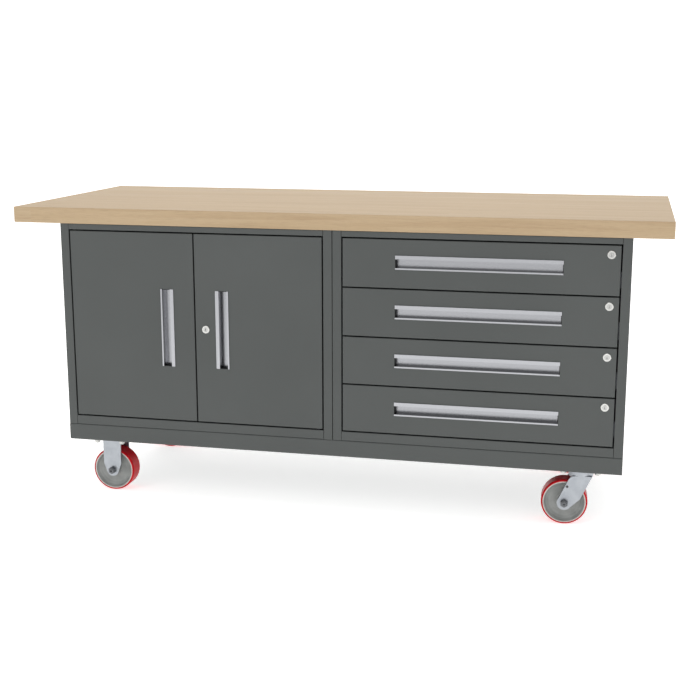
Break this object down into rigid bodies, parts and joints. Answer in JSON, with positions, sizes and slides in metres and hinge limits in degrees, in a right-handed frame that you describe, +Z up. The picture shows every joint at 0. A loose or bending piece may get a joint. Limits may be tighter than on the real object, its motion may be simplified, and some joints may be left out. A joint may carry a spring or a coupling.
{
  "type": "workbench with drawers",
  "caption": "Mobile steel workbench: thick maple worktop on a two-door cabinet and a drawer cabinet joined on a base frame with rigid and swivel casters.",
  "frame": {"origin": "on the floor under the centre of the worktop", "axes": "+X to the right along the worktop, +Y to the back, +Z up; the doors and drawers face -Y"},
  "size_m": [1.8288, 0.762, 0.8454],
  "materials": {
    "maple": "oiled solid maple",
    "grey_paint": "dark grey powder coat on sheet steel",
    "pull_aluminium": "satin extruded aluminium",
    "lock_nickel": "bright nickel plate",
    "zinc_hardware": "zinc plated steel",
    "slide_steel": "zinc plated rolled steel",
    "caster_zinc": "zinc plated pressed steel",
    "hub_iron": "grey painted cast iron",
    "tread": "red polyurethane tread"
  },
  "bodies": {
    "bench": {"worktop": "maple", "worktop_screws": "zinc_hardware", "cabinet_sides": "grey_paint", "cabinet_backs": "grey_paint", "cabinet_floors": "grey_paint", "cabinet_top_rails": "grey_paint", "cabinet_bolts": "zinc_hardware", "shelf": "grey_paint", "shelf_clips": "zinc_hardware", "drawer_uprights": "grey_paint", "drawer_slide_outers": "slide_steel", "door_pivot_pins": "zinc_hardware", "base_frame": "grey_paint", "caster_bolts": "zinc_hardware", "rigid_caster_forks": "caster_zinc", "rigid_caster_axles": "caster_zinc", "swivel_caster_plates": "caster_zinc"},
    "left_door": {"left_door": "grey_paint", "left_door_pull": "pull_aluminium"},
    "left_door_bolt": {"left_door_bolt": "zinc_hardware"},
    "right_door": {"right_door": "grey_paint", "right_door_pull": "pull_aluminium", "right_door_lock_housing": "lock_nickel"},
    "right_door_lock": {"right_door_lock_plug": "lock_nickel"},
    "drawer_1": {"drawer_1_front": "grey_paint", "drawer_1_box": "grey_paint", "drawer_1_pull": "pull_aluminium", "drawer_1_lock_housing": "lock_nickel"},
    "drawer_1_slide_middles": {"drawer_1_slide_middles": "slide_steel"},
    "drawer_1_lock": {"drawer_1_lock_plug": "lock_nickel"},
    "drawer_2": {"drawer_2_front": "grey_paint", "drawer_2_box": "grey_paint", "drawer_2_pull": "pull_aluminium", "drawer_2_lock_housing": "lock_nickel"},
    "drawer_2_slide_middles": {"drawer_2_slide_middles": "slide_steel"},
    "drawer_2_lock": {"drawer_2_lock_plug": "lock_nickel"},
    "drawer_3": {"drawer_3_front": "grey_paint", "drawer_3_box": "grey_paint", "drawer_3_pull": "pull_aluminium", "drawer_3_lock_housing": "lock_nickel"},
    "drawer_3_slide_middles": {"drawer_3_slide_middles": "slide_steel"},
    "drawer_3_lock": {"drawer_3_lock_plug": "lock_nickel"},
    "drawer_4": {"drawer_4_front": "grey_paint", "drawer_4_box": "grey_paint", "drawer_4_pull": "pull_aluminium", "drawer_4_lock_housing": "lock_nickel"},
    "drawer_4_slide_middles": {"drawer_4_slide_middles": "slide_steel"},
    "drawer_4_lock": {"drawer_4_lock_plug": "lock_nickel"},
    "front_swivel": {"front_swivel_fork": "caster_zinc", "front_swivel_axle": "caster_zinc"},
    "swivel_front_wheel": {"swivel_front_hub": "hub_iron", "swivel_front_tyre": "tread"},
    "rigid_front_wheel": {"rigid_front_hub": "hub_iron", "rigid_front_tyre": "tread"},
    "rear_swivel": {"rear_swivel_fork": "caster_zinc", "rear_swivel_axle": "caster_zinc"},
    "swivel_rear_wheel": {"swivel_rear_hub": "hub_iron", "swivel_rear_tyre": "tread"},
    "rigid_rear_wheel": {"rigid_rear_hub": "hub_iron", "rigid_rear_tyre": "tread"}
  },
  "joints": [
    {"name": "left_door_hinge", "type": "hinge", "parent": "bench", "child": "left_door", "pos_m": [-0.7355, -0.367, 0.5115], "axis": [0, 0, -1], "range_deg": [0, 95]},
    {"name": "right_door_hinge", "type": "hinge", "parent": "bench", "child": "right_door", "pos_m": [-0.0231, -0.367, 0.5115], "axis": [0, 0, 1], "range_deg": [0, 95]},
    {"name": "left_door_bolt_slide", "type": "slide", "parent": "left_door", "child": "left_door_bolt", "axis": [0, 0, 1], "range_m": [0, 0.012]},
    {"name": "right_door_lock_turn", "type": "hinge", "parent": "right_door", "child": "right_door_lock", "pos_m": [-0.34755, -0.375, 0.5115], "axis": [0, 1, 0], "range_deg": [0, 90]},
    {"name": "drawer_1_slide", "type": "slide", "parent": "bench", "child": "drawer_1", "axis": [0, -1, 0], "range_m": [0, 0.53]},
    {"name": "drawer_1_middle_slide", "type": "slide", "parent": "bench", "child": "drawer_1_slide_middles", "axis": [0, -1, 0], "range_m": [0, 0.265]},
    {"name": "drawer_1_lock_turn", "type": "hinge", "parent": "drawer_1", "child": "drawer_1_lock", "pos_m": [0.759, -0.375, 0.756], "axis": [0, -1, 0], "range_deg": [0, 90]},
    {"name": "drawer_2_slide", "type": "slide", "parent": "bench", "child": "drawer_2", "axis": [0, -1, 0], "range_m": [0, 0.53]},
    {"name": "drawer_2_middle_slide", "type": "slide", "parent": "bench", "child": "drawer_2_slide_middles", "axis": [0, -1, 0], "range_m": [0, 0.265]},
    {"name": "drawer_2_lock_turn", "type": "hinge", "parent": "drawer_2", "child": "drawer_2_lock", "pos_m": [0.759, -0.375, 0.62062], "axis": [0, -1, 0], "range_deg": [0, 90]},
    {"name": "drawer_3_slide", "type": "slide", "parent": "bench", "child": "drawer_3", "axis": [0, -1, 0], "range_m": [0, 0.53]},
    {"name": "drawer_3_middle_slide", "type": "slide", "parent": "bench", "child": "drawer_3_slide_middles", "axis": [0, -1, 0], "range_m": [0, 0.265]},
    {"name": "drawer_3_lock_turn", "type": "hinge", "parent": "drawer_3", "child": "drawer_3_lock", "pos_m": [0.759, -0.375, 0.48525], "axis": [0, -1, 0], "range_deg": [0, 90]},
    {"name": "drawer_4_slide", "type": "slide", "parent": "bench", "child": "drawer_4", "axis": [0, -1, 0], "range_m": [0, 0.53]},
    {"name": "drawer_4_middle_slide", "type": "slide", "parent": "bench", "child": "drawer_4_slide_middles", "axis": [0, -1, 0], "range_m": [0, 0.265]},
    {"name": "drawer_4_lock_turn", "type": "hinge", "parent": "drawer_4", "child": "drawer_4_lock", "pos_m": [0.759, -0.375, 0.34987], "axis": [0, -1, 0], "range_deg": [0, 90]},
    {"name": "front_swivel_turn", "type": "hinge", "parent": "bench", "child": "front_swivel", "pos_m": [0.702, -0.299, 0.15], "axis": [0, 0, 1], "continuous": true},
    {"name": "swivel_front_wheel_spin", "type": "hinge", "parent": "front_swivel", "child": "swivel_front_wheel", "pos_m": [0.65906, -0.30125, 0.0635], "axis": [-0.0523, 0.9986, 0], "continuous": true},
    {"name": "rigid_front_wheel_spin", "type": "hinge", "parent": "bench", "child": "rigid_front_wheel", "pos_m": [-0.666, -0.299, 0.0635], "axis": [0, 1, 0], "continuous": true},
    {"name": "rear_swivel_turn", "type": "hinge", "parent": "bench", "child": "rear_swivel", "pos_m": [0.702, 0.159, 0.15], "axis": [0, 0, 1], "continuous": true},
    {"name": "swivel_rear_wheel_spin", "type": "hinge", "parent": "rear_swivel", "child": "swivel_rear_wheel", "pos_m": [0.65906, 0.15675, 0.0635], "axis": [-0.0523, 0.9986, 0], "continuous": true},
    {"name": "rigid_rear_wheel_spin", "type": "hinge", "parent": "bench", "child": "rigid_rear_wheel", "pos_m": [-0.666, 0.159, 0.0635], "axis": [0, 1, 0], "continuous": true}
  ],
  "couplings": [
    {"joint": "drawer_1_middle_slide", "follows": "drawer_1_slide", "ratio": 0.5},
    {"joint": "drawer_2_middle_slide", "follows": "drawer_2_slide", "ratio": 0.5},
    {"joint": "drawer_3_middle_slide", "follows": "drawer_3_slide", "ratio": 0.5},
    {"joint": "drawer_4_middle_slide", "follows": "drawer_4_slide", "ratio": 0.5}
  ]
}
